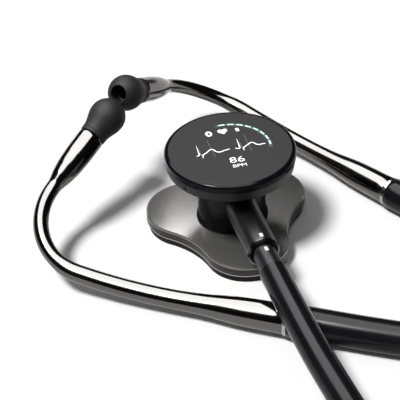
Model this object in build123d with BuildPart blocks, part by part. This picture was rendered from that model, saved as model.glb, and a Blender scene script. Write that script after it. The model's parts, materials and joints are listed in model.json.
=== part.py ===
"""Electronic stethoscope: a round display head on a neck over a three-lobed sensor base, a
plug-in hose, and a sprung headset whose two ear tubes lie round the chestpiece.

Origin: centre of the diaphragm's lower face, on the surface the object rests on.
+Z is up, the stem and the plug point along -Y. Millimetres.
"""
import os
from math import atan2, cos, degrees, pi, radians, sin, sqrt, tan

from build123d import *

os.makedirs("parts", exist_ok=True)

# driving dimensions
LOBE_REACH = 17.9        # centre of the base to the centre of each lobe
LOBE_R = 16.3            # radius of a lobe
WAIST_R = 32.0           # radius of the hollow between two lobes
LOBE_AZIMUTHS = (-90, 30, 150)
SEAL_TOP = 3.0           # top of the rubber rim
BEAD_TOP = 3.35          # top of the bright bead above it
BAND_TOP = 6.2           # top of the brushed side band
BASE_TOP = 7.0           # top of the polished plate

NECK_R = 13.0
NECK_TOP = 28.6
HEAD_R = 24.8            # outside radius of the bezel
HEAD_TOP = 38.0
SHELL_TOP = 34.8         # seam between the head shell and the bezel
GLASS_R = 23.3

STEM_Z = 19.0            # height of the stem and plug axis
STEM_R = 6.0
STEM_END = 40.8          # distance from the origin to the stem's open end
COLLAR_START = 41.6
COLLAR_END = 52.0
PLUG_R = 2.5

HOSE_D = 10.3
ARM_R = 6.1              # rubber arm
LEG_R = 5.5              # metal tube where it leaves the rubber arm
THIN_R = 2.9             # metal tube in and after the tight bend
CUP_R = 5.13             # swelling that holds the speaker
TIP_R = 7.1              # soft ear tip
TIP_CENTRE = 10.6        # from the end of the metal tube to the centre of the tip

HEADSET_HEADING = 132.623  # direction from the yoke to the ear tips, degrees from +X
HEADSET_MIDDLE = Vector(32.605, -35.375, 0)
ARM_SPACING = 41.902      # from the headset's middle line to each rubber-to-metal joint
ARM_Z = 6.1
SPLAY = 14.321           # each leg opens by this much from the middle line
LEG_ROLL = 66.344        # the legs' curves lean this much off the table
LEG_STRAIGHT = 40.0
LEG_ARC = (40.144, 9.41)     # length and turn of the gentle curve
BEND_RADIUS, BEND_TURN, BEND_TWIST = 23.94, 101.807, 40.042
LEFT_TURN, LEFT_TWIST = -2.118, -2.663   # how the left bend differs from the right one
TIP_STRAIGHT = 25.297
HINGE_BACK = 105.0       # arm hinges, behind the headset's middle point
HINGE_SIDE = 7.5
YOKE_Z = 7.0
YOKE_FRONT, YOKE_BACK = 109.4, 140.0

FIT = 0.05               # radial clearance of a turning or sliding fit


def save(builder, name):
    builder.part.label = name
    export_step(builder.part, f"parts/{name}.step")


def polar(radius, azimuth, z=0.0):
    return Vector(radius * cos(radians(azimuth)), radius * sin(radians(azimuth)), z)


# base of the chestpiece
def trefoil(grow, mode=Mode.ADD):
    """The base's outline: three lobes joined by hollow sides, grown or shrunk evenly."""
    lobe, waist = LOBE_R + grow, WAIST_R - grow
    out = LOBE_REACH * cos(radians(60)) + sqrt(
        (LOBE_R + WAIST_R) ** 2 - (LOBE_REACH * sin(radians(60))) ** 2
    )
    with BuildLine() as outline:
        for azimuth in LOBE_AZIMUTHS:
            lobe_at, next_at = polar(LOBE_REACH, azimuth), polar(LOBE_REACH, azimuth + 120)
            before, after = polar(out, azimuth - 60), polar(out, azimuth + 60)
            start = lobe_at + (before - lobe_at).normalized() * lobe
            end = lobe_at + (after - lobe_at).normalized() * lobe
            far = next_at + (after - next_at).normalized() * lobe
            ThreePointArc(start, polar(LOBE_REACH + lobe, azimuth), end)
            ThreePointArc(end, polar(out - waist, azimuth + 60), far)
    make_face(outline.edges(), mode=mode)


def trefoil_plate(bottom, top, grow, inner=None):
    with BuildPart() as plate:
        with BuildSketch(Plane.XY.offset(bottom)):
            trefoil(grow)
            if inner is not None:
                trefoil(inner, mode=Mode.SUBTRACT)
        extrude(amount=top - bottom)
    return plate


electrode_r = 5.0
electrode_reach = 18.5
board_bottom, board_top = 1.5, 2.5

with BuildPart() as diaphragm:
    with BuildSketch(Plane.XY):
        trefoil(-3.2)
        with PolarLocations(electrode_reach, 3, start_angle=30):
            Circle(electrode_r + FIT, mode=Mode.SUBTRACT)
    extrude(amount=0.5)
save(diaphragm, "diaphragm")

with BuildPart() as electrode_pads:
    with BuildSketch(Plane.XY):
        with PolarLocations(electrode_reach, 3, start_angle=30):
            Circle(electrode_r)
    extrude(amount=board_bottom)
save(electrode_pads, "electrode_pads")

with BuildPart() as sensor_foam:
    with BuildSketch(Plane.XY.offset(0.5)):
        trefoil(-3.4)
        with PolarLocations(electrode_reach, 3, start_angle=30):
            Circle(electrode_r + 0.3, mode=Mode.SUBTRACT)
    extrude(amount=board_bottom - 0.5)
save(sensor_foam, "sensor_foam")

with BuildPart() as rubber_rim:
    with BuildSketch(Plane.XY):
        trefoil(-0.7)
        trefoil(-3.15, mode=Mode.SUBTRACT)
    extrude(amount=board_top)
    with BuildSketch(Plane.XY.offset(board_top)):
        trefoil(-0.7)
        trefoil(-5.0, mode=Mode.SUBTRACT)
    extrude(amount=SEAL_TOP - board_top)
save(rubber_rim, "rubber_rim")

with BuildPart() as sensor_board:
    with BuildSketch(Plane.XY.offset(board_bottom)):
        trefoil(-3.4)
    extrude(amount=board_top - board_bottom)
save(sensor_board, "sensor_board")

with BuildPart() as heart_sensor:
    with BuildSketch(Plane.XY.offset(board_top)):
        Circle(4.9)
    extrude(amount=1.7)
    with BuildSketch(Plane.XY.offset(board_top + 1.7)):
        Circle(3.2)
    extrude(amount=0.5)
save(heart_sensor, "heart_sensor")

save(trefoil_plate(SEAL_TOP, BEAD_TOP, 0.05, -5.0), "bright_bead")
save(trefoil_plate(BEAD_TOP, BAND_TOP, 0.0, -2.0), "base_band")

# neck
screw_r, screw_head_r = 1.0, 1.8
foot_screw_reach = 8.2
gasket_top = BASE_TOP + 0.4
neck_floor = gasket_top + 1.6
neck_roof = NECK_TOP - 2.0
wire_hole_r = 3.5
neck_bore = 11.0

with BuildPart() as base_plate:
    with BuildSketch(Plane.XY.offset(BAND_TOP)):
        trefoil(0.0)
    extrude(amount=BASE_TOP - BAND_TOP)
    chamfer(base_plate.edges().group_by(Axis.Z)[-1], 0.4)
    with BuildSketch(Plane.XY.offset(BAND_TOP)):
        Circle(wire_hole_r)
        with PolarLocations(foot_screw_reach, 3, start_angle=30):
            Circle(screw_r + FIT)
    extrude(amount=BASE_TOP - BAND_TOP, mode=Mode.SUBTRACT)
save(base_plate, "base_plate")

with BuildPart() as neck_gasket:
    with BuildSketch(Plane.XY.offset(BASE_TOP)):
        Circle(NECK_R + 0.9)
        Circle(neck_bore, mode=Mode.SUBTRACT)
    extrude(amount=gasket_top - BASE_TOP)
save(neck_gasket, "neck_gasket")

with BuildPart() as neck_housing:
    with BuildSketch(Plane.XZ):
        with BuildLine():
            Polyline((0, gasket_top), (NECK_R + 0.7, gasket_top), (NECK_R, gasket_top + 1.6))
            Line((NECK_R, gasket_top + 1.6), (NECK_R, NECK_TOP - 5))
            Spline(
                (NECK_R, NECK_TOP - 5), (NECK_R + 0.8, NECK_TOP - 2), (NECK_R + 2.6, NECK_TOP),
                tangents=((0, 1), (1, 0.9)),
            )
            Polyline((NECK_R + 2.6, NECK_TOP), (0, NECK_TOP), (0, gasket_top))
        make_face()
    revolve(axis=Axis.Z)
    with BuildSketch(Plane.XY.offset(neck_floor)):
        Circle(neck_bore)
    extrude(amount=neck_roof - neck_floor, mode=Mode.SUBTRACT)
    with BuildSketch(Plane.XY.offset(gasket_top)):
        Circle(wire_hole_r)
    extrude(amount=NECK_TOP - gasket_top, mode=Mode.SUBTRACT)
    with BuildSketch(Plane.XY.offset(gasket_top)):
        with PolarLocations(foot_screw_reach, 3, start_angle=30):
            Circle(screw_r + FIT)
    extrude(amount=neck_floor - gasket_top, mode=Mode.SUBTRACT)
    with BuildSketch(Plane.XY.offset(neck_roof)):
        with PolarLocations(foot_screw_reach, 3, start_angle=90):
            Circle(screw_r + FIT)
    extrude(amount=NECK_TOP - neck_roof, mode=Mode.SUBTRACT)
    with BuildSketch(Plane.XZ):
        with Locations((0, STEM_Z)):
            Circle(STEM_R + FIT)
    extrude(amount=NECK_R + 4, mode=Mode.SUBTRACT)
save(neck_housing, "neck_housing")


with BuildPart() as base_screws:
    with BuildSketch(Plane.XY.offset(BAND_TOP - 1.1)):
        with PolarLocations(foot_screw_reach, 3, start_angle=30):
            Circle(screw_head_r)
    extrude(amount=1.1)
    with BuildSketch(Plane.XY.offset(BAND_TOP)):
        with PolarLocations(foot_screw_reach, 3, start_angle=30):
            Circle(screw_r)
    extrude(amount=neck_floor - BAND_TOP)
save(base_screws, "base_screws")

with BuildPart() as battery:
    with BuildSketch(Plane.XY.offset(neck_floor + 0.3)):
        with Locations((0, 3.2)):
            Circle(7.0)
    extrude(amount=15.0)
    fillet(battery.edges(), 0.6)
save(battery, "battery")

# stem and its socket
stem_plane = Plane(origin=(0, 0, STEM_Z), x_dir=(0, -1, 0), z_dir=(1, 0, 0))
stem_axis = Axis(origin=(0, 0, STEM_Z), direction=(0, -1, 0))


def turned_on_stem(*outline):
    """A solid of revolution about the stem's axis; points are (distance along it, radius)."""
    with BuildPart() as piece:
        with BuildSketch(stem_plane):
            with BuildLine():
                Polyline(*outline, close=True)
            make_face()
        revolve(axis=stem_axis)
    return piece


socket_r = 3.5
ring_start = STEM_END - 1.4
save(turned_on_stem(
    (8.5, socket_r), (8.5, STEM_R), (ring_start, STEM_R), (ring_start, socket_r)), "stem_sleeve")
save(turned_on_stem(
    (ring_start, PLUG_R + FIT), (ring_start, STEM_R + 0.05), (STEM_END - 0.7, STEM_R + 0.05),
    (STEM_END, STEM_R - 0.6), (STEM_END, PLUG_R + FIT)), "stem_ring")
save(turned_on_stem(
    (20.0, 0.8), (20.0, socket_r - 0.02), (ring_start, socket_r - 0.02),
    (ring_start, PLUG_R + FIT), (24.0, PLUG_R + FIT), (24.0, 0.8)), "socket_insert")
save(turned_on_stem(
    (26.0, 0), (26.0, 1.2), (27.2, PLUG_R), (COLLAR_END - 2, PLUG_R), (COLLAR_END - 2, 0)),
    "plug_barrel")
save(turned_on_stem(
    (STEM_END + 0.05, PLUG_R + 0.02), (STEM_END + 0.05, 4.0), (COLLAR_START, 4.0),
    (COLLAR_START, PLUG_R + 0.02)), "plug_seal")
save(turned_on_stem(
    (COLLAR_START, PLUG_R + 0.02), (COLLAR_START, 3.95), (COLLAR_START + 0.35, 4.3),
    (COLLAR_END - 0.6, 4.6), (COLLAR_END, 4.5), (COLLAR_END, 0.0), (COLLAR_END - 1.8, 0.0),
    (COLLAR_END - 1.8, PLUG_R + 0.02)), "hose_collar")

# display head
floor_top = 30.3
step_top = 31.2          # the board rests on this step
board_r = 20.0
slot_low, slot_high = 32.0, 34.2
key_low, key_high = slot_low + 0.2, slot_high - 0.2
key_inner, key_outer = 22.3, 24.5
rocker_span = (164.5, 210.5)
power_span = (14.0, 26.0)
slot_gap = 1.0           # degrees either side of a key


def wedge_ring(inner, outer, span, bottom, top, mode=Mode.ADD):
    """A flat ring sector, added to or cut from the part being built."""
    start, end = span
    with BuildSketch(Plane.XY.offset(bottom)) as sector:
        with BuildLine():
            middle = (start + end) / 2
            ThreePointArc(polar(outer, start), polar(outer, middle), polar(outer, end))
            Line(polar(outer, end), polar(inner, end))
            ThreePointArc(polar(inner, end), polar(inner, middle), polar(inner, start))
            Line(polar(inner, start), polar(outer, start))
        make_face()
    extrude(sector.sketch, amount=top - bottom, mode=mode)


rocker_middle = sum(rocker_span) / 2
pivot_at = polar(23.4, rocker_middle)
pivot_r = 0.5
port_azimuth = 100.0
port_plane = Plane(
    origin=polar(0, 0, 33.1), x_dir=polar(1, port_azimuth - 90), z_dir=polar(1, port_azimuth))

with BuildPart() as head_shell:
    with BuildSketch(Plane.XZ):
        with BuildLine():
            Polyline(
                (0, NECK_TOP), (NECK_R + 2.7, NECK_TOP), (22.4, 30.1), (24.1, 31.1),
                (24.55, SHELL_TOP), (23.3, SHELL_TOP), (22.3, step_top), (18.6, step_top),
                (18.6, floor_top), (0, floor_top), close=True,
            )
        make_face()
    revolve(axis=Axis.Z)
    with BuildSketch(Plane.XY.offset(NECK_TOP)):
        Circle(wire_hole_r)
        with PolarLocations(foot_screw_reach, 3, start_angle=90):
            Circle(screw_r + FIT)
    extrude(amount=floor_top - NECK_TOP, mode=Mode.SUBTRACT)
    for span in (rocker_span, power_span):
        wide = (span[0] - slot_gap, span[1] + slot_gap)
        wedge_ring(21.8, HEAD_R + 1, wide, slot_low, slot_high, mode=Mode.SUBTRACT)
    with BuildSketch(port_plane.offset(19.3)):
        RectangleRounded(8.9, 2.1, 0.9)
    extrude(amount=8, mode=Mode.SUBTRACT)
    with BuildSketch(Plane.XY.offset(slot_low - 0.8)):
        with Locations(pivot_at):
            Circle(pivot_r)
    extrude(amount=SHELL_TOP - slot_low + 0.6, mode=Mode.SUBTRACT)
save(head_shell, "head_shell")

with BuildPart() as head_screws:
    with BuildSketch(Plane.XY.offset(floor_top)):
        with PolarLocations(foot_screw_reach, 3, start_angle=90):
            Circle(screw_head_r)
    extrude(amount=0.8)
    with BuildSketch(Plane.XY.offset(neck_roof)):
        with PolarLocations(foot_screw_reach, 3, start_angle=90):
            Circle(screw_r)
    extrude(amount=floor_top - neck_roof)
save(head_screws, "head_screws")

with BuildPart() as main_board:
    with BuildSketch(Plane.XY.offset(step_top)):
        Circle(board_r)
    extrude(amount=0.8)
    for x, y, wide, deep, tall in ((-5, 3, 9, 9, 1.2), (7, -4, 7, 5, 1.0), (-6, -9, 6, 4, 0.9)):
        with BuildSketch(Plane.XY.offset(step_top + 0.8)):
            with Locations((x, y)):
                Rectangle(wide, deep)
        extrude(amount=tall)
save(main_board, "main_board")

with BuildPart() as charging_port:
    with BuildSketch(port_plane.offset(18.3)):
        RectangleRounded(8.7, 1.9, 0.85)
    extrude(amount=5.4)
    with BuildSketch(port_plane.offset(19.5)):
        RectangleRounded(8.1, 1.4, 0.6)
    extrude(amount=4.2, mode=Mode.SUBTRACT)
save(charging_port, "charging_port")

with BuildPart() as display_panel:
    with BuildSketch(Plane.XY.offset(SHELL_TOP + 0.1)):
        Circle(20.0)
    extrude(amount=1.6)
save(display_panel, "display_panel")

with BuildPart() as bezel:
    with BuildSketch(Plane.XZ):
        with BuildLine():
            Line((20.4, SHELL_TOP), (HEAD_R - 0.35, SHELL_TOP))
            Line((HEAD_R - 0.35, SHELL_TOP), (HEAD_R, SHELL_TOP + 0.5))
            Line((HEAD_R, SHELL_TOP + 0.5), (HEAD_R, HEAD_TOP - 1.5))
            RadiusArc((HEAD_R, HEAD_TOP - 1.5), (HEAD_R - 1.35, HEAD_TOP - 0.02), -1.45)
            Polyline(
                (HEAD_R - 1.35, HEAD_TOP - 0.02), (GLASS_R + 0.05, HEAD_TOP - 0.02),
                (GLASS_R + 0.05, HEAD_TOP - 1.3), (20.4, HEAD_TOP - 1.3), (20.4, SHELL_TOP),
            )
        make_face()
    revolve(axis=Axis.Z)
save(bezel, "bezel")

with BuildPart() as cover_glass:
    with BuildSketch(Plane.XY.offset(HEAD_TOP - 1.3)):
        Circle(GLASS_R)
    extrude(amount=1.3)
    fillet(cover_glass.edges().group_by(Axis.Z)[-1], 0.25)
save(cover_glass, "cover_glass")

with BuildPart() as volume_rocker:
    wedge_ring(key_inner, key_outer, rocker_span, key_low, key_high)
    with BuildSketch(Plane.XY.offset(key_low)):
        with Locations(pivot_at):
            Circle(pivot_r + FIT)
    extrude(amount=key_high - key_low, mode=Mode.SUBTRACT)
save(volume_rocker, "volume_rocker")

with BuildPart() as rocker_pin:
    with BuildSketch(Plane.XY.offset(slot_low - 0.8)):
        with Locations(pivot_at):
            Circle(pivot_r)
    extrude(amount=SHELL_TOP - slot_low + 0.6)
save(rocker_pin, "rocker_pin")

with BuildPart() as power_button:
    wedge_ring(key_inner + 0.9, key_outer + 0.15, power_span, key_low, key_high)
save(power_button, "power_button")

# hose
headset_forward = polar(1, HEADSET_HEADING)
headset_side = polar(1, HEADSET_HEADING + 90)


def in_headset(forward, side, z):
    place = HEADSET_MIDDLE + headset_forward * forward + headset_side * side
    return Vector(place.X, place.Y, z)


hose_route = [
    (0.0, -COLLAR_END, STEM_Z),
    (0.0, -88.0, STEM_Z),
    (3.0, -124.0, 18.0),
    (9.5, -168.0, 11.8),
    (18.5, -212.0, 6.3),
    (46.0, -249.0, 5.25),
    (90.0, -264.5, 5.2),
    (133.0, -250.0, 5.2),
    (158.3, -215.5, 5.3),
    tuple(in_headset(-YOKE_BACK - 42, 0, YOKE_Z)),
    tuple(in_headset(-YOKE_BACK, 0, YOKE_Z)),
]
points = [Vector(*p) for p in hose_route]
radii = []
for before, here, after in zip(points, points[1:], points[2:]):
    turn = (here - before).get_angle(after - here)
    shorter = min((here - before).length, (after - here).length)
    radii.append(0.45 * shorter / tan(radians(turn / 2)))
    print(f"hose corner {tuple(round(c, 1) for c in here)} turn {turn:.1f} radius {radii[-1]:.1f}")
runs = [(b - a).length for a, b in zip(points, points[1:])]
print("hose runs", [round(r, 1) for r in runs])

with BuildPart() as main_hose:
    with BuildLine() as hose_line:
        FilletPolyline(*points, radius=radii)
    with BuildSketch(Plane(origin=points[0], z_dir=points[1] - points[0])):
        Circle(HOSE_D / 2)
    sweep(path=hose_line.wire())
hose_length = hose_line.wire().length
print(f"hose length {hose_length:.1f}, volume {main_hose.part.volume:.0f}, "
      f"section by length {pi * (HOSE_D / 2) ** 2 * hose_length:.0f}")
save(main_hose, "main_hose")

# yoke and its leaf spring
yoke_height, yoke_width = 13.8, 27.6
pocket_r = ARM_R + 0.3
spring_thick, spring_tall = 0.6, 8.0


def headset_plane(forward):
    """A plane across the headset's middle line, facing the hose end."""
    return Plane(origin=in_headset(forward, 0, YOKE_Z), x_dir=headset_side, z_dir=headset_forward * -1)


def spring_strip(extra, mode=Mode.ADD):
    """The V-shaped strip that pulls both arms together, or the slot that it lies in."""
    half = spring_thick / 2 + extra
    with BuildSketch(Plane.XY.offset(YOKE_Z - spring_tall / 2 - extra)) as strip:
        for (f1, s1), (f2, s2) in (
            ((-112.6, 6.4), (-130, 0)), ((-112.6, -6.4), (-130, 0)),
        ):
            start, end = in_headset(f1, s1, 0), in_headset(f2, s2, 0)
            run = end - start
            with Locations(Location((start + end) / 2, (0, 0, degrees(atan2(run.Y, run.X))))):
                SlotCenterToCenter(run.length, 2 * half)
    extrude(strip.sketch, amount=spring_tall + 2 * extra, mode=mode)


with BuildPart() as yoke:
    with BuildSketch(headset_plane(-YOKE_FRONT)):
        RectangleRounded(yoke_width, yoke_height, yoke_height / 2 - 0.05)
    with BuildSketch(headset_plane(-YOKE_BACK)):
        Circle(yoke_height / 2 - 0.6)
    loft()
    with Locations(*[in_headset(-HINGE_BACK, s * HINGE_SIDE, YOKE_Z) for s in (1, -1)]):
        Sphere(pocket_r, mode=Mode.SUBTRACT)
    spring_strip(0.1, mode=Mode.SUBTRACT)
save(yoke, "yoke")

with BuildPart() as leaf_spring:
    spring_strip(0.0)
save(leaf_spring, "leaf_spring")

# arms, ear tubes, ear tips
spigot_length, spigot_r = 14.0, 3.5
bore_r = 1.7
nipple_r, nipple_length = 2.5, 7.0
ferrule_r, ferrule_length = 5.85, 1.5


def arc_end(start, tangent, normal, radius, turn):
    """Where an arc ends, and its tangent there."""
    a = radians(turn)
    end = start + tangent * (radius * sin(a)) + normal * (radius * (1 - cos(a)))
    return end, tangent * cos(a) + normal * sin(a)


def round_on(place, direction, radius):
    """A round section across the path, for a sweep."""
    with BuildSketch(Plane(origin=place, z_dir=direction)) as section:
        Circle(radius)
    return section.sketch


def ear_parts(name, side):
    """One leg of the headset: side is 1 for the wearer's left, -1 for the right."""
    heading = HEADSET_HEADING - side * SPLAY
    joint = in_headset(0, -side * ARM_SPACING, ARM_Z)
    bend_turn = BEND_TURN + (LEFT_TURN if side > 0 else 0)
    bend_twist = BEND_TWIST + (LEFT_TWIST if side > 0 else 0)
    ahead = polar(1, heading)
    up = Vector(0, 0, side).rotate(Axis.X, side * LEG_ROLL).rotate(Axis.Z, heading)

    leg_end = joint + ahead * LEG_STRAIGHT
    gentle_radius = LEG_ARC[0] / radians(LEG_ARC[1])
    gentle_end, gentle_dir = arc_end(leg_end, ahead, up.cross(ahead), gentle_radius, LEG_ARC[1])
    gentle_mid, _ = arc_end(leg_end, ahead, up.cross(ahead), gentle_radius, LEG_ARC[1] / 2)
    up = up.rotate(Axis(origin=(0, 0, 0), direction=gentle_dir), -side * bend_twist)
    bend_side = up.cross(gentle_dir)
    bend_end, tip_dir = arc_end(gentle_end, gentle_dir, bend_side, BEND_RADIUS, bend_turn)
    bend_mid, _ = arc_end(gentle_end, gentle_dir, bend_side, BEND_RADIUS, bend_turn / 2)
    seam = bend_end + tip_dir * TIP_STRAIGHT
    print(name, "joint", tuple(joint), "ahead", tuple(ahead), "seam", tuple(seam), "tip", tuple(tip_dir))

    tip_plane = Plane(origin=seam, x_dir=tip_dir, z_dir=up)
    tip_axis = Axis(origin=seam, direction=tip_dir)
    leg_plane = Plane(origin=joint, x_dir=ahead, z_dir=Vector(0, 0, 1).cross(ahead))
    leg_axis = Axis(origin=joint, direction=ahead)

    def turned(plane, axis, *outline):
        """A solid of revolution; points are (distance along the axis, radius)."""
        with BuildSketch(plane) as profile:
            with BuildLine():
                Polyline(*outline, close=True)
            make_face()
        revolve(profile.sketch, axis=axis)

    leg_end_r, gentle_end_r = 3.65, 3.4
    with BuildPart() as ear_tube:
        turned(leg_plane, leg_axis, (-spigot_length, 0), (-spigot_length, spigot_r - 0.4),
               (-spigot_length + 1, spigot_r), (ferrule_length, spigot_r), (ferrule_length, LEG_R),
               (12, 5.42), (18, 5.2), (27, 4.35), (31, 4.0), (LEG_STRAIGHT, leg_end_r),
               (LEG_STRAIGHT, 0))
        with BuildLine(mode=Mode.PRIVATE) as gentle:
            ThreePointArc(leg_end, gentle_mid, gentle_end)
        sweep([round_on(leg_end, ahead, leg_end_r), round_on(gentle_end, gentle_dir, gentle_end_r)],
              path=gentle.wire(), multisection=True)
        with BuildLine(mode=Mode.PRIVATE) as bend:
            ThreePointArc(gentle_end, bend_mid, bend_end)
        sweep([round_on(gentle_end, gentle_dir, gentle_end_r), round_on(bend_end, tip_dir, THIN_R)],
              path=bend.wire(), multisection=True)
        turned(tip_plane, tip_axis, (-TIP_STRAIGHT, 0), (-TIP_STRAIGHT, THIN_R), (-24, THIN_R),
               (-22.4, 3.3), (-19.9, 3.98), (-16.9, 4.46), (-14.4, 4.78), (-8.9, CUP_R - 0.03),
               (-0.6, CUP_R), (0, CUP_R - 0.4), (0, nipple_r), (nipple_length, nipple_r), (nipple_length, 0))
        with BuildLine(mode=Mode.PRIVATE) as whole:
            Line(joint - ahead * (spigot_length + 1), leg_end)
            ThreePointArc(leg_end, gentle_mid, gentle_end)
            ThreePointArc(gentle_end, bend_mid, bend_end)
            Line(bend_end, seam + tip_dir * (nipple_length + 1))
        sweep([round_on(joint - ahead * (spigot_length + 1), ahead, bore_r)],
              path=whole.wire(), mode=Mode.SUBTRACT)
        with BuildSketch(Plane(origin=seam - tip_dir * 13, z_dir=tip_dir)):
            Circle(3.7)
        extrude(amount=11, mode=Mode.SUBTRACT)
    save(ear_tube, f"{name}_ear_tube")

    with BuildPart() as ferrule:
        turned(leg_plane, leg_axis, (0.15, spigot_r + 0.02), (0.15, ferrule_r - 0.2), (0.35, ferrule_r),
               (ferrule_length - 0.2, ferrule_r), (ferrule_length, ferrule_r - 0.2),
               (ferrule_length, spigot_r + 0.02))
    save(ferrule, f"{name}_ferrule")

    with BuildPart() as speaker:
        with BuildSketch(Plane(origin=seam - tip_dir * 12.6, z_dir=tip_dir)):
            Circle(3.6)
        extrude(amount=8.4)
        with BuildSketch(Plane(origin=seam - tip_dir * 4.2, z_dir=tip_dir)):
            Circle(2.4)
        extrude(amount=1.0)
    save(speaker, f"{name}_speaker")

    tip_back = 0.2
    tip_bore = nipple_r + FIT
    with BuildPart() as ear_tip:
        with BuildSketch(tip_plane):
            with BuildLine():
                mouth_r = 3.4
                face = sqrt(TIP_R ** 2 - mouth_r ** 2)
                blend = TIP_CENTRE - 4.2
                blend_r = sqrt(TIP_R ** 2 - 4.2 ** 2)
                Polyline((tip_back, tip_bore), (tip_back, 4.9), (tip_back + 0.4, 5.2),
                         (3.6, 5.35), (blend, blend_r))
                ThreePointArc((blend, blend_r), (TIP_CENTRE, TIP_R), (TIP_CENTRE + face, mouth_r))
                Polyline((TIP_CENTRE + face, mouth_r), (TIP_CENTRE + face - 1.0, 3.0),
                         (TIP_CENTRE + face - 1.0, tip_bore), (tip_back, tip_bore))
            make_face()
        revolve(axis=tip_axis)
    save(ear_tip, f"{name}_ear_tip")

    hinge = in_headset(-HINGE_BACK, -side * HINGE_SIDE, YOKE_Z)
    straight_back = joint - ahead * 16
    with BuildPart() as arm:
        with BuildLine() as arm_line:
            Line(joint, straight_back)
            TangentArc(straight_back, hinge, tangent=ahead * -1)
        with BuildSketch(Plane(origin=joint, z_dir=ahead * -1)):
            Circle(ARM_R)
        sweep(path=arm_line.wire())
        with Locations(hinge):
            Sphere(ARM_R)
        with BuildSketch(Plane(origin=joint, z_dir=ahead * -1)):
            Circle(spigot_r + FIT)
        extrude(amount=spigot_length + 0.8, mode=Mode.SUBTRACT)
    save(arm, f"{name}_arm")


ear_parts("left", 1)
ear_parts("right", -1)
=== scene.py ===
import json
import math
from math import cos, pi, radians, sin, sqrt

import bmesh
import bpy
from mathutils import Matrix, Quaternion, Vector


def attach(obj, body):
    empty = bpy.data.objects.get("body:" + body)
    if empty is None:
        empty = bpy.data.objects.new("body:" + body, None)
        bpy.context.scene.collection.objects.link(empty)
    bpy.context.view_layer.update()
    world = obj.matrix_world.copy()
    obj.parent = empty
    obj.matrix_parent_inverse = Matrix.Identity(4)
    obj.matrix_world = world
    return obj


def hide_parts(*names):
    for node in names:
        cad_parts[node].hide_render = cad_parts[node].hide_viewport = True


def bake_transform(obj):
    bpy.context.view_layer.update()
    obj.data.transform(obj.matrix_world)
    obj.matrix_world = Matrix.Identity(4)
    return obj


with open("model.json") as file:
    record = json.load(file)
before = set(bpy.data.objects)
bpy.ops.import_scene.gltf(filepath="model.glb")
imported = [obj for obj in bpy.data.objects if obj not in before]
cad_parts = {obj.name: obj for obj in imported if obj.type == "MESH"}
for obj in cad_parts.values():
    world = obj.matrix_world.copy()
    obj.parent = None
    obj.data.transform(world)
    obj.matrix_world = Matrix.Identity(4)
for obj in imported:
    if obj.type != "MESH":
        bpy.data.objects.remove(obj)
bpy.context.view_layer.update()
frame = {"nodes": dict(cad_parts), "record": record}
mm = 0.001
scene = bpy.context.scene
nodes = frame["nodes"]

# ---- camera: where the viewer stands, and how much it sees
camera = {
    "stands": (-104.785, -380.814, 317.31),
    "looksAt": (-7.6, 20.8, 0.0),
    "lens": 116.43,      # mm, on a sensor 36 mm wide
    "roll": -3.26,       # degrees about the line of sight
}


def makeCamera(c):
    data = bpy.data.cameras.new("viewCamera")
    data.lens = c["lens"]
    data.sensor_width = 36
    data.clip_start = 0.02
    data.clip_end = 20
    eye = bpy.data.objects.new("viewCamera", data)
    scene.collection.objects.link(eye)
    stands = Vector(c["stands"]) * mm
    look = (Vector(c["looksAt"]) * mm - stands).normalized()
    turn = look.to_track_quat("-Z", "Y").to_matrix().to_4x4()
    eye.matrix_world = Matrix.Translation(stands) @ turn @ Matrix.Rotation(radians(c["roll"]), 4, "Z")
    scene.camera = eye
    bpy.context.view_layer.update()


makeCamera(camera)

# ---- the headset's own directions, shared by the arms, yoke and ear tubes
headset = {
    "heading": 132.623,      # from the yoke to the ear tips
    "middle": (32.605, -35.375),
    "spacing": 41.902, "z": 6.1, "splay": 14.321, "roll": 66.344,
    "hingeBack": 105.0, "hingeSide": 7.5, "yokeZ": 7.0,
}


def inHeadset(forward, side, z):
    a = radians(headset["heading"])
    x, y = headset["middle"]
    return Vector((x + forward * cos(a) - side * sin(a), y + forward * sin(a) + side * cos(a), z))


# ---- the hose, from the plug's collar to the yoke
hose = {
    "diameter": 10.3, "length": 424,
    "route": [
        (0.0, -52.0, 19.0), (0.0, -88.0, 19.0), (3.0, -124.0, 18.0), (9.5, -168.0, 11.8),
        (18.5, -212.0, 6.3), (46.0, -249.0, 5.25), (90.0, -264.5, 5.2), (133.0, -250.0, 5.2),
        (158.3, -215.5, 5.3), tuple(inHeadset(-182, 0, 7.0)), tuple(inHeadset(-140, 0, 7.0)),
    ],
}


def makeHose(h):
    data = bpy.data.curves.new("hose", "CURVE")
    data.dimensions = "3D"
    line = data.splines.new("NURBS")
    line.points.add(len(h["route"]) - 1)
    for point, place in zip(line.points, h["route"]):
        point.co = (*(Vector(place) * mm), 1)
        point.radius = h["diameter"] / 2 * mm     # on the points, so that the curve's box is right
    line.order_u = 3
    line.use_endpoint_u = True
    data.resolution_u = 20
    data.bevel_depth = 1
    data.bevel_resolution = 10
    data.use_fill_caps = True
    piece = bpy.data.objects.new("hose", data)
    scene.collection.objects.link(piece)
    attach(piece, "tubing")
    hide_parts("main_hose")
    return piece


hosePiece = makeHose(hose)
print("camera and hose done")


# ---- mesh helpers
def newPiece(name, bm, sharp=32):
    # a smooth-shaded mesh object, with edges sharper than that many degrees kept crisp
    bmesh.ops.remove_doubles(bm, verts=bm.verts, dist=1e-7)
    bmesh.ops.recalc_face_normals(bm, faces=bm.faces)
    mesh = bpy.data.meshes.new(name)
    bm.to_mesh(mesh)
    bm.free()
    mesh.shade_smooth()
    mesh.set_sharp_from_angle(angle=radians(sharp))
    piece = bpy.data.objects.new(name, mesh)
    scene.collection.objects.link(piece)
    return piece


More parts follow.
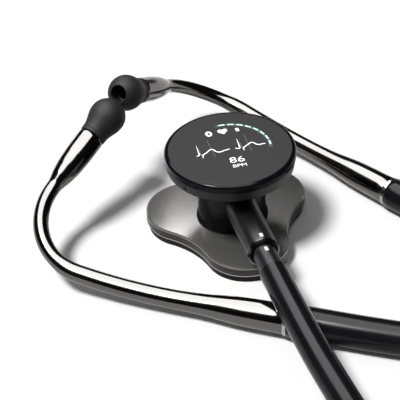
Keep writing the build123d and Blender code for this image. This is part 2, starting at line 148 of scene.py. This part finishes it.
def alongAxis(start, direction):
    # the matrix that stands a piece made along +Z on start, pointing along direction
    turn = Vector((0, 0, 1)).rotation_difference(Vector(direction)).to_matrix().to_4x4()
    return Matrix.Translation(Vector(start) * mm) @ turn @ Matrix.Scale(mm, 4)


def turned(name, outline, start=(0, 0, 0), direction=(0, 0, 1), steps=128, sharp=32):
    # outline: (distance along the axis, radius, rounding of that corner), from one end to the other
    bm = bmesh.new()
    verts = [bm.verts.new((r, 0, z)) for z, r, _ in outline]
    for a, b in zip(verts, verts[1:] + verts[:1]):
        bm.edges.new((a, b))
    bmesh.ops.spin(bm, geom=bm.verts[:] + bm.edges[:], axis=(0, 0, 1), cent=(0, 0, 0),
                   angle=2 * pi, steps=steps, use_merge=True)
    bmesh.ops.remove_doubles(bm, verts=bm.verts, dist=1e-5)
    bmesh.ops.recalc_face_normals(bm, faces=bm.faces)
    for z, r, rounding in outline:
        if rounding:
            ring = [e for e in bm.edges if all(
                abs(v.co.z - z) < 1e-3 and abs(sqrt(v.co.x ** 2 + v.co.y ** 2) - r) < 1e-3
                for v in e.verts)]
            bmesh.ops.bevel(bm, geom=ring, offset=rounding, segments=5, profile=0.5,
                            affect="EDGES", material=-1)
    bm.transform(alongAxis(start, direction))
    return newPiece(name, bm, sharp)


def growRing(name, frames, sides=48, sharp=40):
    # a capped ring stands on the first matrix and is extruded from each matrix to the next
    bm = bmesh.new()
    first = bmesh.ops.create_circle(bm, radius=1, segments=sides, cap_ends=True)
    ring = bm.edges[:]
    bmesh.ops.transform(bm, matrix=frames[0], verts=first["verts"])
    for here, there in zip(frames, frames[1:]):
        grown = bmesh.ops.extrude_edge_only(bm, edges=ring)["geom"]
        verts = [g for g in grown if isinstance(g, bmesh.types.BMVert)]
        ring = [g for g in grown if isinstance(g, bmesh.types.BMEdge)
                and all(v in verts for v in g.verts)]
        bmesh.ops.transform(bm, matrix=there @ here.inverted(), verts=verts)
    bmesh.ops.contextual_create(bm, geom=ring)
    return newPiece(name, bm, sharp)


def sweepRing(name, stations, sides=48):
    # stations: (place, direction, radius) along the middle of a round tube
    before = Vector((0, 0, 1))
    turn = Matrix.Identity(3)
    frames = []
    for place, direction, radius in stations:
        turn = before.rotation_difference(direction).to_matrix() @ turn
        frames.append(Matrix.Translation(place * mm) @ turn.to_4x4() @ Matrix.Scale(radius * mm, 4))
        before = direction
    return growRing(name, frames, sides)


# ---- materials
def newMaterial(name):
    m = bpy.data.materials.new(name)
    m.use_nodes = True
    return m, m.node_tree, m.node_tree.nodes["Principled BSDF"]


def addNode(tree, kind, **settings):
    node = tree.nodes.new(kind)
    for key, value in settings.items():
        if key in node.inputs:
            node.inputs[key].default_value = value
        else:
            setattr(node, key, value)
    return node


def objectPattern(tree, kind, stretch=(1, 1, 1), **settings):
    place = addNode(tree, "ShaderNodeTexCoord")
    mapping = addNode(tree, "ShaderNodeMapping")
    mapping.inputs["Scale"].default_value = stretch
    tree.links.new(place.outputs["Object"], mapping.inputs["Vector"])
    pattern = addNode(tree, kind, **settings)
    tree.links.new(mapping.outputs["Vector"], pattern.inputs["Vector"])
    return pattern


def spread(tree, source, low, high):
    # maps a 0 to 1 pattern onto low to high
    ramp = addNode(tree, "ShaderNodeMapRange")
    ramp.inputs["To Min"].default_value = low
    ramp.inputs["To Max"].default_value = high
    tree.links.new(source, ramp.inputs["Value"])
    return ramp.outputs["Result"]


def tint(tree, source, dark, light):
    mix = addNode(tree, "ShaderNodeMix", data_type="RGBA")
    mix.inputs["A"].default_value = (*dark, 1)
    mix.inputs["B"].default_value = (*light, 1)
    tree.links.new(source, mix.inputs["Factor"])
    return mix.outputs["Result"]


def bumped(tree, shader, source, depth):
    bump = addNode(tree, "ShaderNodeBump")
    bump.inputs["Distance"].default_value = depth * mm
    tree.links.new(source, bump.inputs["Height"])
    tree.links.new(bump.outputs["Normal"], shader.inputs["Normal"])


def makeFinish(name, dark, light, rough, grain, metal=0, stretch=(1, 1, 1), depth=0, ior=1.5):
    # one finish: two close tones and a roughness range laid over the surface by noise
    m, tree, shader = newMaterial(name)
    noise = objectPattern(tree, "ShaderNodeTexNoise", stretch, Scale=grain, Detail=4)
    tree.links.new(tint(tree, noise.outputs["Fac"], dark, light), shader.inputs["Base Color"])
    tree.links.new(spread(tree, noise.outputs["Fac"], *rough), shader.inputs["Roughness"])
    shader.inputs["Metallic"].default_value = metal
    shader.inputs["IOR"].default_value = ior
    if depth:
        bumped(tree, shader, noise.outputs["Fac"], depth)
    return m


def makeGlow(name, colour, strength):
    m, tree, shader = newMaterial(name)
    shader.inputs["Base Color"].default_value = (*colour, 1)
    shader.inputs["Emission Color"].default_value = (*colour, 1)
    shader.inputs["Emission Strength"].default_value = strength
    shader.inputs["Roughness"].default_value = 0.4
    return m


finishTable = {
    "hoseRubber": {"dark": (0.004, 0.004, 0.005), "light": (0.008, 0.008, 0.009),
                   "rough": (0.16, 0.24), "grain": 60, "depth": 0.006, "ior": 1.24},
    "gunmetal": {"dark": (0.028, 0.028, 0.029), "light": (0.05, 0.05, 0.052), "metal": 1,
                 "rough": (0.3, 0.42), "grain": 900, "stretch": (1, 0.04, 1), "depth": 0.002},
    "brightSteel": {"dark": (0.34, 0.34, 0.35), "light": (0.42, 0.42, 0.43), "metal": 1,
                    "rough": (0.14, 0.22), "grain": 200},
    "brushedBand": {"dark": (0.03, 0.026, 0.023), "light": (0.07, 0.061, 0.055), "metal": 1,
                    "rough": (0.3, 0.45), "grain": 350, "stretch": (0.06, 0.06, 14), "depth": 0.004},
    "plateSteel": {"dark": (0.23, 0.225, 0.221), "light": (0.27, 0.264, 0.259), "metal": 0.78,
                   "rough": (0.22, 0.28), "grain": 40},
    "rimRubber": {"dark": (0.003, 0.003, 0.003), "light": (0.005, 0.005, 0.005),
                  "rough": (0.4, 0.5), "grain": 500, "depth": 0.01, "ior": 1.22},
    "glossBlack": {"dark": (0.003, 0.003, 0.004), "light": (0.005, 0.005, 0.006),
                   "rough": (0.08, 0.14), "grain": 50},
    "lipBlack": {"dark": (0.003, 0.003, 0.004), "light": (0.005, 0.005, 0.006),
                 "rough": (0.1, 0.16), "grain": 50, "ior": 1.18},
    "neckBlack": {"dark": (0.002, 0.002, 0.002), "light": (0.003, 0.003, 0.003),
                  "rough": (0.22, 0.3), "grain": 80, "ior": 1.22},
    "matteBlack": {"dark": (0.005, 0.005, 0.005), "light": (0.008, 0.008, 0.008),
                   "rough": (0.4, 0.5), "grain": 1500, "depth": 0.01, "ior": 1.35},
    "coverGlass": {"dark": (0.027, 0.027, 0.028), "light": (0.031, 0.031, 0.032),
                   "rough": (0.42, 0.5), "grain": 300, "ior": 1.2},
    "smokedChrome": {"dark": (0.115, 0.112, 0.109), "light": (0.135, 0.131, 0.127), "metal": 1,
                     "rough": (0.1, 0.15), "grain": 60},
    "softSilicone": {"dark": (0.008, 0.008, 0.008), "light": (0.013, 0.013, 0.014),
                     "rough": (0.55, 0.65), "grain": 900, "depth": 0.01, "ior": 1.3},
    "sealRubber": {"dark": (0.004, 0.004, 0.004), "light": (0.008, 0.008, 0.008),
                   "rough": (0.5, 0.65), "grain": 600, "depth": 0.01},
    "diaphragmFilm": {"dark": (0.05, 0.05, 0.052), "light": (0.075, 0.075, 0.078),
                      "rough": (0.4, 0.55), "grain": 1200, "depth": 0.008},
    "electrodeSteel": {"dark": (0.5, 0.5, 0.51), "light": (0.62, 0.62, 0.63), "metal": 1,
                       "rough": (0.22, 0.34), "grain": 700, "stretch": (1, 0.05, 1), "depth": 0.003},
    "ringMetal": {"dark": (0.05, 0.05, 0.052), "light": (0.08, 0.08, 0.083), "metal": 1,
                  "rough": (0.16, 0.24), "grain": 900, "stretch": (1, 0.04, 1)},
    "plugMetal": {"dark": (0.7, 0.52, 0.25), "light": (0.8, 0.62, 0.32), "metal": 1,
                  "rough": (0.15, 0.25), "grain": 200},
    "circuitBoard": {"dark": (0.01, 0.09, 0.04), "light": (0.02, 0.14, 0.06),
                     "rough": (0.3, 0.45), "grain": 800, "depth": 0.01},
    "batteryWrap": {"dark": (0.03, 0.06, 0.2), "light": (0.05, 0.09, 0.26),
                    "rough": (0.25, 0.4), "grain": 200, "depth": 0.01},
}
glowTable = {
    # the printed marks are no lamp: their faint emission is a painted glow on top of the white print
    "printedWhiteWithPaintedGlow": {"colour": (0.72, 0.72, 0.72), "strength": 0.12},
    "litWhite": {"colour": (0.9, 0.92, 0.92), "strength": 0.95},
    "litGreen": {"colour": (0.42, 0.78, 0.64), "strength": 0.9},
    "litHaze": {"colour": (0.008, 0.03, 0.024), "strength": 0.7},
    "litGrid": {"colour": (0.06, 0.06, 0.062), "strength": 0.9},
}
finishes = {name: makeFinish(name, **values) for name, values in finishTable.items()}
finishes.update({name: makeGlow(name, **values) for name, values in glowTable.items()})


def crown(finish, radius):
    # a very slight dome in the shading, as a pressed plate has
    tree = finishes[finish].node_tree
    shader = tree.nodes["Principled BSDF"]
    place = addNode(tree, "ShaderNodeTexCoord")
    flat = addNode(tree, "ShaderNodeVectorMath", operation="MULTIPLY")
    flat.inputs[1].default_value = (1, 1, 0)
    tree.links.new(place.outputs["Object"], flat.inputs[0])
    square = addNode(tree, "ShaderNodeVectorMath", operation="DOT_PRODUCT")
    tree.links.new(flat.outputs["Vector"], square.inputs[0])
    tree.links.new(flat.outputs["Vector"], square.inputs[1])
    height = addNode(tree, "ShaderNodeMath", operation="MULTIPLY")
    height.inputs[1].default_value = -1 / (2 * radius * mm)
    tree.links.new(square.outputs["Value"], height.inputs[0])
    bump = addNode(tree, "ShaderNodeBump")
    bump.inputs["Distance"].default_value = 1
    tree.links.new(height.outputs["Value"], bump.inputs["Height"])
    tree.links.new(bump.outputs["Normal"], shader.inputs["Normal"])


crown("plateSteel", 350)

slotFinish = {
    "hose_rubber": "hoseRubber", "gunmetal": "gunmetal", "bright_steel": "brightSteel",
    "brushed_band": "brushedBand", "dark_chrome_plate": "plateSteel", "rim_rubber": "rimRubber",
    "gloss_black": "glossBlack", "matte_black": "matteBlack", "cover_glass": "coverGlass",
    "smoked_chrome": "smokedChrome", "soft_silicone": "softSilicone", "seal_rubber": "sealRubber",
    "diaphragm_film": "diaphragmFilm", "electrode_steel": "electrodeSteel",
    "display_glass": "glossBlack", "socket_plastic": "matteBlack", "foam": "sealRubber",
    "spring_steel": "electrodeSteel", "screw_steel": "electrodeSteel", "sensor_can": "electrodeSteel",
    "plug_metal": "plugMetal", "circuit_board": "circuitBoard", "battery_wrap": "batteryWrap",
}


def paint(piece, finish):
    piece.data.materials.clear()
    piece.data.materials.append(finishes[finish])


for entry in frame["record"]["subparts"]:
    paint(nodes[entry["node"]], slotFinish[entry["material_slot"]])
paint(hosePiece, "hoseRubber")
paint(nodes["stem_ring"], "ringMetal")
paint(nodes["bezel"], "lipBlack")
paint(nodes["neck_housing"], "neckBlack")
print("materials done")


def standsFor(piece, node, finish, body):
    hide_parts(node)
    paint(piece, finish)
    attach(piece, body)


# ---- ear tubes: straight leg, gentle curve, tight bend, straight end with the speaker housing
earTube = {
    "mouth": [(1.5, 5.3), (1.8, 5.5)],
    "legStraight": 40.0, "gentle": (40.144, 9.41), "bend": (23.94, 101.807), "twist": 40.042,
    "leftTurn": -2.118, "leftTwist": -2.663, "tipStraight": 25.297,
    # (distance from the rubber joint, radius), then (distance from the far end, radius) of the cup
    "widths": [(0, 5.5), (9, 5.45), (18, 5.2), (23, 4.8), (27, 4.35), (31, 4.0), (35, 3.8),
               (40, 3.65), (49, 3.56), (75, 3.45), (84, 3.38), (92, 2.92), (140, 2.9)],
    "cup": [(0, 4.8), (0.5, 5.13), (6, 5.13), (9, 5.1), (12, 4.95), (15, 4.74), (17, 4.46),
            (20, 3.97), (22, 3.45), (24, 2.98), (26, 2.9)],
}


def blendWidth(table, s):
    # smooth interpolation in a short table of (distance, radius), with no overshoot
    slopes = [(r1 - r0) / (s1 - s0) for (s0, r0), (s1, r1) in zip(table, table[1:])]
    leans = [0] + [2 * a * b / (a + b) if a * b > 0 else 0 for a, b in zip(slopes, slopes[1:])] + [0]
    for i, ((s0, r0), (s1, r1)) in enumerate(zip(table, table[1:])):
        if s <= s1:
            t, run = (s - s0) / (s1 - s0), s1 - s0
            return (r0 + (r1 - r0) * t * t * (3 - 2 * t)
                    + run * t * (1 - t) * (leans[i] * (1 - t) - leans[i + 1] * t))
    return table[-1][1]


def legLine(side):
    # the leg's centreline: (distance, place, direction), with side 1 for left and -1 for right
    e, h = earTube, headset
    heading = radians(h["heading"] - side * h["splay"])
    lie = Matrix.Rotation(heading, 3, "Z")
    ahead = lie @ Vector((1, 0, 0))
    up = lie @ Matrix.Rotation(radians(side * h["roll"]), 3, "X") @ Vector((0, 0, side))
    place = inHeadset(0, -side * h["spacing"], h["z"])
    joint = place.copy()
    line = []
    s = 0.0

    def straight(length, steps):
        nonlocal s, place
        for i in range(steps):
            line.append((s + length * i / steps, place + ahead * (length * i / steps), ahead.copy()))
        s += length
        place = place + ahead * length

    def bend(radius, turn, steps):
        nonlocal s, place, ahead
        inward = up.cross(ahead)
        start, first = place.copy(), ahead.copy()
        for i in range(steps + 1):
            a = radians(turn) * i / steps
            here = start + first * (radius * sin(a)) + inward * (radius * (1 - cos(a)))
            way = first * cos(a) + inward * sin(a)
            if i < steps:
                line.append((s + radius * a, here, way))
        place, ahead = here, way
        s += radius * radians(turn)

    straight(e["legStraight"], 8)
    length, turn = e["gentle"]
    bend(length / radians(turn), turn, 16)
    left = side > 0
    up = Quaternion(ahead, radians(-side * (e["twist"] + left * e["leftTwist"]))) @ up
    bend(e["bend"][0], e["bend"][1] + left * e["leftTurn"], 40)
    straight(e["tipStraight"], 54)
    line.append((s, place.copy(), ahead.copy()))
    return joint, line


def tubeRadius(s, total):
    if total - s < earTube["cup"][-1][0]:
        return blendWidth(earTube["cup"], total - s)
    return blendWidth(earTube["widths"], s)


def makeEarTube(name, side):
    joint, line = legLine(side)
    total, ahead = line[-1][0], line[0][2]
    stations = [(joint + ahead * s, ahead, radius) for s, radius in earTube["mouth"]]
    stations += [(place, way, tubeRadius(s, total)) for s, place, way in line[1:]]
    piece = sweepRing(f"{name}TubeShell", stations, sides=64)
    standsFor(piece, f"{name}_ear_tube", "smokedChrome", f"{name}_ear_tube")
    return joint, line


# ---- ear tip: skirt with faint ribs, round head, wide hole in its end
earTip = {
    # (distance from the metal's end, radius) down the outside, through which a smooth line runs
    "outside": [(0.25, 4.95), (0.6, 5.2), (1.8, 5.28), (3.2, 5.4), (4.8, 5.75), (6.4, 6.3),
                (8.2, 6.85), (10.0, 7.1), (11.6, 7.04), (13.2, 6.6), (14.6, 5.85), (15.8, 4.85),
                (16.5, 4.0), (16.7, 3.6), (16.6, 3.35), (16.2, 3.2)],
    "ribs": (1.5, 2.4, 3.3), "ribDepth": 0.14, "ribWidth": 0.16,
    "floor": [(11.8, 3.1), (11.5, 2.55)], "bore": 2.55,
}


def smoothLine(points, steps):
    # a Catmull-Rom line through the points
    line = []
    for i in range(len(points) - 1):
        nearby = [max(0, min(len(points) - 1, i + k)) for k in (-1, 0, 1, 2)]
        p0, p1, p2, p3 = (Vector(points[k]) for k in nearby)
        for j in range(steps):
            t = j / steps
            line.append((p1 * 2 + (p2 - p0) * t + (p0 * 2 - p1 * 5 + p2 * 4 - p3) * t ** 2
                         + (p1 * 3 - p0 - p2 * 3 + p3) * t ** 3) * 0.5)
    line.append(Vector(points[-1]))
    return line


def makeEarTip(name, seam, way):
    t = earTip
    outline = [(t["outside"][0][0], t["bore"], 0)]
    for z, r in smoothLine(t["outside"], 5):
        for rib in t["ribs"]:
            r -= t["ribDepth"] * math.exp(-((z - rib) / t["ribWidth"]) ** 2)
        outline.append((z, r, 0))
    outline += [(z, r, 0) for z, r in t["floor"]]
    piece = turned(f"{name}SoftTip", outline, seam, way, steps=72, sharp=50)
    standsFor(piece, f"{name}_ear_tip", "softSilicone", f"{name}_ear_tip")


# ---- the bright ring between the rubber and the metal: (distance, radius, rounding)
jointRing = [(0.12, 3.6, 0), (0.12, 5.85, 0.2), (1.5, 5.85, 0.3), (1.5, 3.6, 0)]


def makeJointRing(name, joint, way):
    piece = turned(f"{name}JointRing", jointRing, joint, way, steps=96)
    standsFor(piece, f"{name}_ferrule", "brightSteel", f"{name}_ear_tube")


# ---- rubber arms: one bent tube each, with a thicker lip at the metal tube
arm = {
    "radius": 6.1, "straight": 16.0, "bendSteps": 28,
    "lip": [(-0.1, 5.4), (0, 5.9), (0.25, 6.1)],     # (distance back from the metal tube, radius)
    "root": [(3, 6.0), (6, 5.4), (8, 4.2)],          # (distance past the hinge, radius)
    "flexes": (4, 22),                               # before and after the hinge
}


def makeArm(name, side, joint, ahead):
    hinge = inHeadset(-headset["hingeBack"], -side * headset["hingeSide"], headset["yokeZ"])
    back = ahead * -1
    bendStart = joint + back * arm["straight"]
    chord = hinge - bendStart
    half = chord.angle(back)
    axis = back.cross(chord).normalized()
    radius = chord.length / (2 * sin(half))
    inward = axis.cross(back)
    stations = [(joint + back * reach, back, r) for reach, r in arm["lip"]]
    stations += [(joint + back * (arm["straight"] * i / 6), back, arm["radius"]) for i in range(1, 6)]
    steps = arm["bendSteps"]
    for i in range(steps + 1):
        a = 2 * half * i / steps
        place = bendStart + back * (radius * sin(a)) + inward * (radius * (1 - cos(a)))
        way = back * cos(a) + inward * sin(a)
        stations.append((place, way, arm["radius"]))
    lastWay = stations[-1][1]
    stations += [(hinge + lastWay * reach, lastWay, r) for reach, r in arm["root"]]
    piece = sweepRing(f"{name}ArmRubber", stations, sides=56)
    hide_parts(f"{name}_arm")
    paint(piece, "hoseRubber")
    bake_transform(piece)


for name, side in (("left", 1), ("right", -1)):
    joint, line = makeEarTube(name, side)
    makeJointRing(name, joint, line[0][2])
    makeEarTip(name, line[-1][1], line[-1][2])
    makeArm(name, side, joint, line[0][2])

# ---- yoke: a moulded rubber piece, oval at the arms and round at the hose
yoke = {
    # (distance behind the headset's middle, half width, half height)
    "stations": [(105.6, 12.7, 5.7), (106.4, 13.4, 6.5), (108, 13.75, 6.85), (112, 13.6, 6.9),
                 (117, 12.7, 6.85), (122, 11.2, 6.75), (127, 9.6, 6.6), (132, 8.1, 6.45),
                 (137, 6.9, 6.35), (141, 6.3, 6.3), (143, 6.15, 6.15), (143.8, 5.6, 5.6)],
}


def makeYoke(y):
    ahead = (inHeadset(1, 0, 0) - inHeadset(0, 0, 0)).normalized()
    across = (inHeadset(0, 1, 0) - inHeadset(0, 0, 0)).normalized()
    turn = Matrix((across, Vector((0, 0, 1)), ahead)).transposed().to_4x4()
    frames = []
    for back, wide, tall in y["stations"]:
        place = inHeadset(-back, 0, headset["yokeZ"])
        size = Matrix.Diagonal((wide * mm, tall * mm, mm, 1))
        frames.append(Matrix.Translation(place * mm) @ turn @ size)
    piece = growRing("yokeMoulding", frames, sides=72, sharp=50)
    standsFor(piece, "yoke", "hoseRubber", "tubing")


makeYoke(yoke)
print("headset done")

# ---- the display's picture, a thin layer on the cover glass
display = {
    "z": 38.03, "turned": -4.0,
    "arc": {"radius": 15.3, "from": 90.5, "step": -13.1, "dash": 9.3, "count": 8, "width": 0.62},
    "haze": {"from": 94.5, "turn": -112, "width": 1.612},
    "trace": 0.42,
    "first": [(-13.2, -1.3), (-12.5, -1.3), (-12.1, -0.9), (-11.75, 5.0), (-11.25, -3.2),
              (-10.8, -1.2), (-10.2, -1.0), (-9.0, -0.2), (-7.6, 1.0), (-6.9, 1.2), (-6.2, 0.6),
              (-5.6, -0.8), (-4.7, -1.5), (-3.6, -1.5), (-2.6, -1.1), (-0.4, -0.8)],
    "second": [(1.8, -1.1), (3.2, -1.8), (3.5, -1.2), (4.0, 4.7), (4.5, -3.5), (4.9, -1.5),
               (5.6, -1.2), (7.0, -0.2), (8.2, 0.5), (8.9, 0.6), (9.4, 0.0), (10.0, -1.2),
               (11.2, -1.8), (12.2, -1.6), (13.3, -1.8)],
    "grid": [[(-7.0, 7.0), (-6.8, -4.0)], [(7.3, 6.2), (7.1, -4.8)]], "gridWidth": 0.2,
    # how far each layer stands above or below the picture's own
    "lift": {"dashes": 0.012, "haze": -0.035, "grid": -0.01},
    "ring": {"at": (-5.1, 11.1), "size": (0.9, 1.25), "width": 0.75},
    "heart": {"at": (0.4, 11.1), "size": 1.9},
    "block": {"at": (6.0, 10.4), "size": (1.25, 1.9)},
    "rate": {"says": "86", "at": (0.3, -8.3), "size": 4.9, "bold": -0.05, "wide": 1.22},
    "unit": {"says": "BPM", "at": (0.25, -12.0), "size": 2.6, "bold": -0.02, "wide": 1.15},
}


def stroke(points, width, closed=False):
    # a rounded line of the given width, flattened onto the glass
    data = bpy.data.curves.new("stroke", "CURVE")
    data.dimensions = "3D"
    line = data.splines.new("POLY")
    line.points.add(len(points) - 1)
    for point, (x, y) in zip(line.points, points):
        point.co = (x, y, 0, 1)
    line.use_cyclic_u = closed
    data.bevel_depth = width / 2
    data.bevel_resolution = 2
    data.use_fill_caps = not closed
    return flatMesh(data)


def flatMesh(data, thick=0.05):
    # the curve or text as a mesh, pressed thin
    piece = bpy.data.objects.new("flat", data)
    scene.collection.objects.link(piece)
    bpy.context.view_layer.update()
    mesh = bpy.data.meshes.new_from_object(piece.evaluated_get(bpy.context.evaluated_depsgraph_get()))
    bpy.data.objects.remove(piece)
    mesh.transform(Matrix.Diagonal((1, 1, thick, 1)))
    return mesh


def words(says, size, bold):
    data = bpy.data.curves.new("words", "FONT")
    data.body = says
    data.size = size
    data.offset = bold
    data.align_x = "CENTER"
    data.align_y = "CENTER"
    data.extrude = 0.1
    return flatMesh(data)


def heartOutline(size):
    outline = []
    for i in range(40):
        a = 2 * pi * i / 40
        rise = (13 * cos(a) - 5 * cos(2 * a) - 2 * cos(3 * a) - cos(4 * a)) / 16
        outline.append((size * sin(a) ** 3, size * rise))
    return outline


def filled(outline):
    data = bpy.data.curves.new("filled", "CURVE")
    data.dimensions = "2D"
    data.fill_mode = "BOTH"
    data.extrude = 0.1
    line = data.splines.new("POLY")
    line.points.add(len(outline) - 1)
    for point, (x, y) in zip(line.points, outline):
        point.co = (x, y, 0, 1)
    line.use_cyclic_u = True
    return flatMesh(data)


def layOnGlass(name, meshes, finish, lift=0.0):
    # joins flat meshes, each with its own place, into one piece on the cover glass
    bm = bmesh.new()
    for mesh, (x, y) in meshes:
        mesh.transform(Matrix.Translation((x, y, 0)))
        bm.from_mesh(mesh)
    bm.transform(Matrix.Translation((0, 0, (display["z"] + lift) * mm)) @ Matrix.Scale(mm, 4))
    piece = newPiece(name, bm)
    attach(piece, "chestpiece")
    paint(piece, finish)


def arcPoints(radius, start, turn, steps):
    angles = [radians(start + turn * i / steps) for i in range(steps + 1)]
    return [(radius * cos(a), radius * sin(a)) for a in angles]


def makeDisplay(d):
    centre = (0, 0)
    a = d["arc"]
    starts = [a["from"] + a["step"] * i for i in range(a["count"])]
    dashes = [stroke(arcPoints(a["radius"], start, -a["dash"], 6), a["width"]) for start in starts]
    layOnGlass("levelDashes", [(dash, centre) for dash in dashes], "litGreen",
               d["lift"]["dashes"])
    h = d["haze"]
    haze = stroke(arcPoints(a["radius"], h["from"], h["turn"], 40), h["width"])
    layOnGlass("levelHaze", [(haze, centre)], "litHaze", d["lift"]["haze"])

    white = [(stroke(d[trace], d["trace"]), centre) for trace in ("first", "second")]
    wide, tall = d["ring"]["size"]
    loop = [(wide * cos(2 * pi * i / 24), tall * sin(2 * pi * i / 24)) for i in range(24)]
    white.append((stroke(loop, d["ring"]["width"], closed=True), d["ring"]["at"]))
    white.append((filled(heartOutline(d["heart"]["size"])), d["heart"]["at"]))
    wide, tall = d["block"]["size"]
    white.append((stroke([(0, -tall / 2), (0, tall / 2)], wide), d["block"]["at"]))
    turn = Matrix.Rotation(radians(d["turned"]), 4, "Z")
    for key in ("rate", "unit"):
        mesh = words(d[key]["says"], d[key]["size"], d[key]["bold"])
        mesh.transform(turn @ Matrix.Diagonal((d[key]["wide"], 1, 1, 1)))
        white.append((mesh, d[key]["at"]))
    layOnGlass("displayPicture", white, "litWhite")
    grid = [(stroke(g, d["gridWidth"]), centre) for g in d["grid"]]
    layOnGlass("displayGrid", grid, "litGrid", d["lift"]["grid"])


makeDisplay(display)

# ---- the two white marks that line the plug up with the stem: white print with a faint painted glow
marks = {
    "axisHeight": 19, "halfWidth": 0.62, "lift": 0.012,
    # each is bent over the top of a cylinder, and rises a little along a tapered one
    "each": [
        {"name": "stemMark", "y": (-36.6, -38.6), "radius": 6.0, "rise": 0, "body": "chestpiece"},
        {"name": "collarMark", "y": (-42.4, -44.8), "radius": 4.36, "rise": 0.16, "body": "tubing"},
    ],
}


def makeMark(m):
    bm = bmesh.new()
    start, end = m["y"]
    axisHeight = marks["axisHeight"]
    half = marks["halfWidth"] / m["radius"]
    top = axisHeight + m["radius"] * cos(half) + marks["lift"]
    first = bm.verts.new(Vector((m["radius"] * sin(-half), start, top)) * mm)
    bmesh.ops.spin(bm, geom=[first], axis=(0, 1, 0), cent=Vector((0, start, axisHeight)) * mm,
                   angle=2 * half, steps=8)
    grown = bmesh.ops.extrude_edge_only(bm, edges=bm.edges[:])["geom"]
    verts = [g for g in grown if isinstance(g, bmesh.types.BMVert)]
    bmesh.ops.translate(bm, vec=Vector((0, end - start, m["rise"])) * mm, verts=verts)
    piece = newPiece(m["name"], bm)
    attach(piece, m["body"])
    # white print, brightened by a faint painted glow
    paint(piece, "printedWhiteWithPaintedGlow")


for m in marks["each"]:
    makeMark(m)
print("display done")

# ---- floor, lights
floor = {"size": 6.0, "grey": 0.82}


def makeFloor(f):
    bm = bmesh.new()
    bmesh.ops.create_grid(bm, x_segments=1, y_segments=1, size=f["size"] / 2)
    mesh = bpy.data.meshes.new("floor")
    bm.to_mesh(mesh)
    bm.free()
    piece = bpy.data.objects.new("floor", mesh)
    scene.collection.objects.link(piece)
    m, tree, shader = newMaterial("floorPaper")
    shader.inputs["Base Color"].default_value = (f["grey"], f["grey"], f["grey"], 1)
    shader.inputs["Roughness"].default_value = 0.9
    shader.inputs["Specular IOR Level"].default_value = 0.1
    piece.data.materials.append(m)


makeFloor(floor)

softbox = {"at": (-0.225, 0.325, 1.0), "size": (1.1, 1.65), "radiance": 7.5}


def makeSoftbox(b):
    # hangs level over the object, and shows in reflections only
    data = bpy.data.lights.new("softbox", "AREA")
    data.shape = "RECTANGLE"
    data.size, data.size_y = b["size"]
    data.energy = b["radiance"] * pi * data.size * data.size_y
    lamp = bpy.data.objects.new("softbox", data)
    scene.collection.objects.link(lamp)
    lamp.visible_diffuse = False
    lamp.matrix_world = (Matrix.Translation(b["at"])
                         @ Vector((0, 0, -1)).to_track_quat("-Z", "Y").to_matrix().to_4x4())


makeSoftbox(softbox)

key = {"toward": (-0.45, -0.12, 1.0), "strength": 3.6, "angle": 13.0}


def makeKey(k):
    data = bpy.data.lights.new("key", "SUN")
    data.energy = k["strength"]
    data.angle = radians(k["angle"])
    lamp = bpy.data.objects.new("key", data)
    scene.collection.objects.link(lamp)
    turn = (Vector(k["toward"]) * -1).to_track_quat("-Z", "Y")
    lamp.matrix_world = turn.to_matrix().to_4x4()


makeKey(key)

studio = {"fill": 0.24, "dark": 0.02, "backdrop": 1.0}


def makeWorld(w):
    # pale to the eye, a soft fill on matt surfaces, dark in reflections
    world = bpy.data.worlds.new("studio")
    scene.world = world
    world.use_nodes = True
    tree = world.node_tree
    back = tree.nodes["Background"]
    path = addNode(tree, "ShaderNodeLightPath")
    glossy = addNode(tree, "ShaderNodeMapRange")
    glossy.inputs["To Min"].default_value = w["fill"]
    glossy.inputs["To Max"].default_value = w["dark"]
    tree.links.new(path.outputs["Is Glossy Ray"], glossy.inputs["Value"])
    seen = addNode(tree, "ShaderNodeMapRange")
    tree.links.new(path.outputs["Is Camera Ray"], seen.inputs["Value"])
    tree.links.new(glossy.outputs["Result"], seen.inputs["To Min"])
    seen.inputs["To Max"].default_value = w["backdrop"]
    tree.links.new(seen.outputs["Result"], back.inputs["Strength"])
    back.inputs["Color"].default_value = (1, 1, 1, 1)


makeWorld(studio)
scene.view_settings.view_transform = "Standard"
print("stage done")

bpy.context.view_layer.update()
